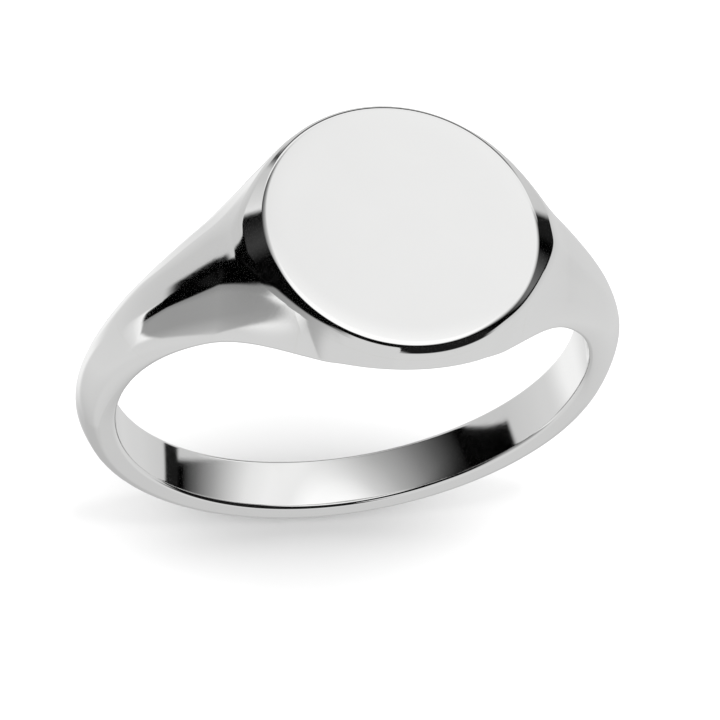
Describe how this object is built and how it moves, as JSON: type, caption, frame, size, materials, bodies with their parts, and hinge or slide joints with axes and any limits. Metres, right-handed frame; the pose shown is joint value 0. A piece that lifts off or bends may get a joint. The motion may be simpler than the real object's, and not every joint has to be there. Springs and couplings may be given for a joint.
{
  "type": "signet ring",
  "caption": "Plain signet ring: round flat table on a solid head, shoulders that taper into a narrow D-section shank.",
  "frame": {"origin": "centre of the finger hole", "axes": "+Y along the finger, +Z out through the table, +X across the shoulders"},
  "size_m": [0.02, 0.0106, 0.0199],
  "materials": {
    "silver": "mirror polished sterling silver",
    "silver_solder": "hard silver solder, filed flush and polished with the ring"
  },
  "bodies": {
    "root": {"face_plate": "silver", "face_solder": "silver_solder", "head": "silver", "left_head_solder": "silver_solder", "right_head_solder": "silver_solder", "left_shoulder": "silver", "right_shoulder": "silver", "left_shank_solder": "silver_solder", "right_shank_solder": "silver_solder", "shank": "silver"}
  },
  "joints": []
}
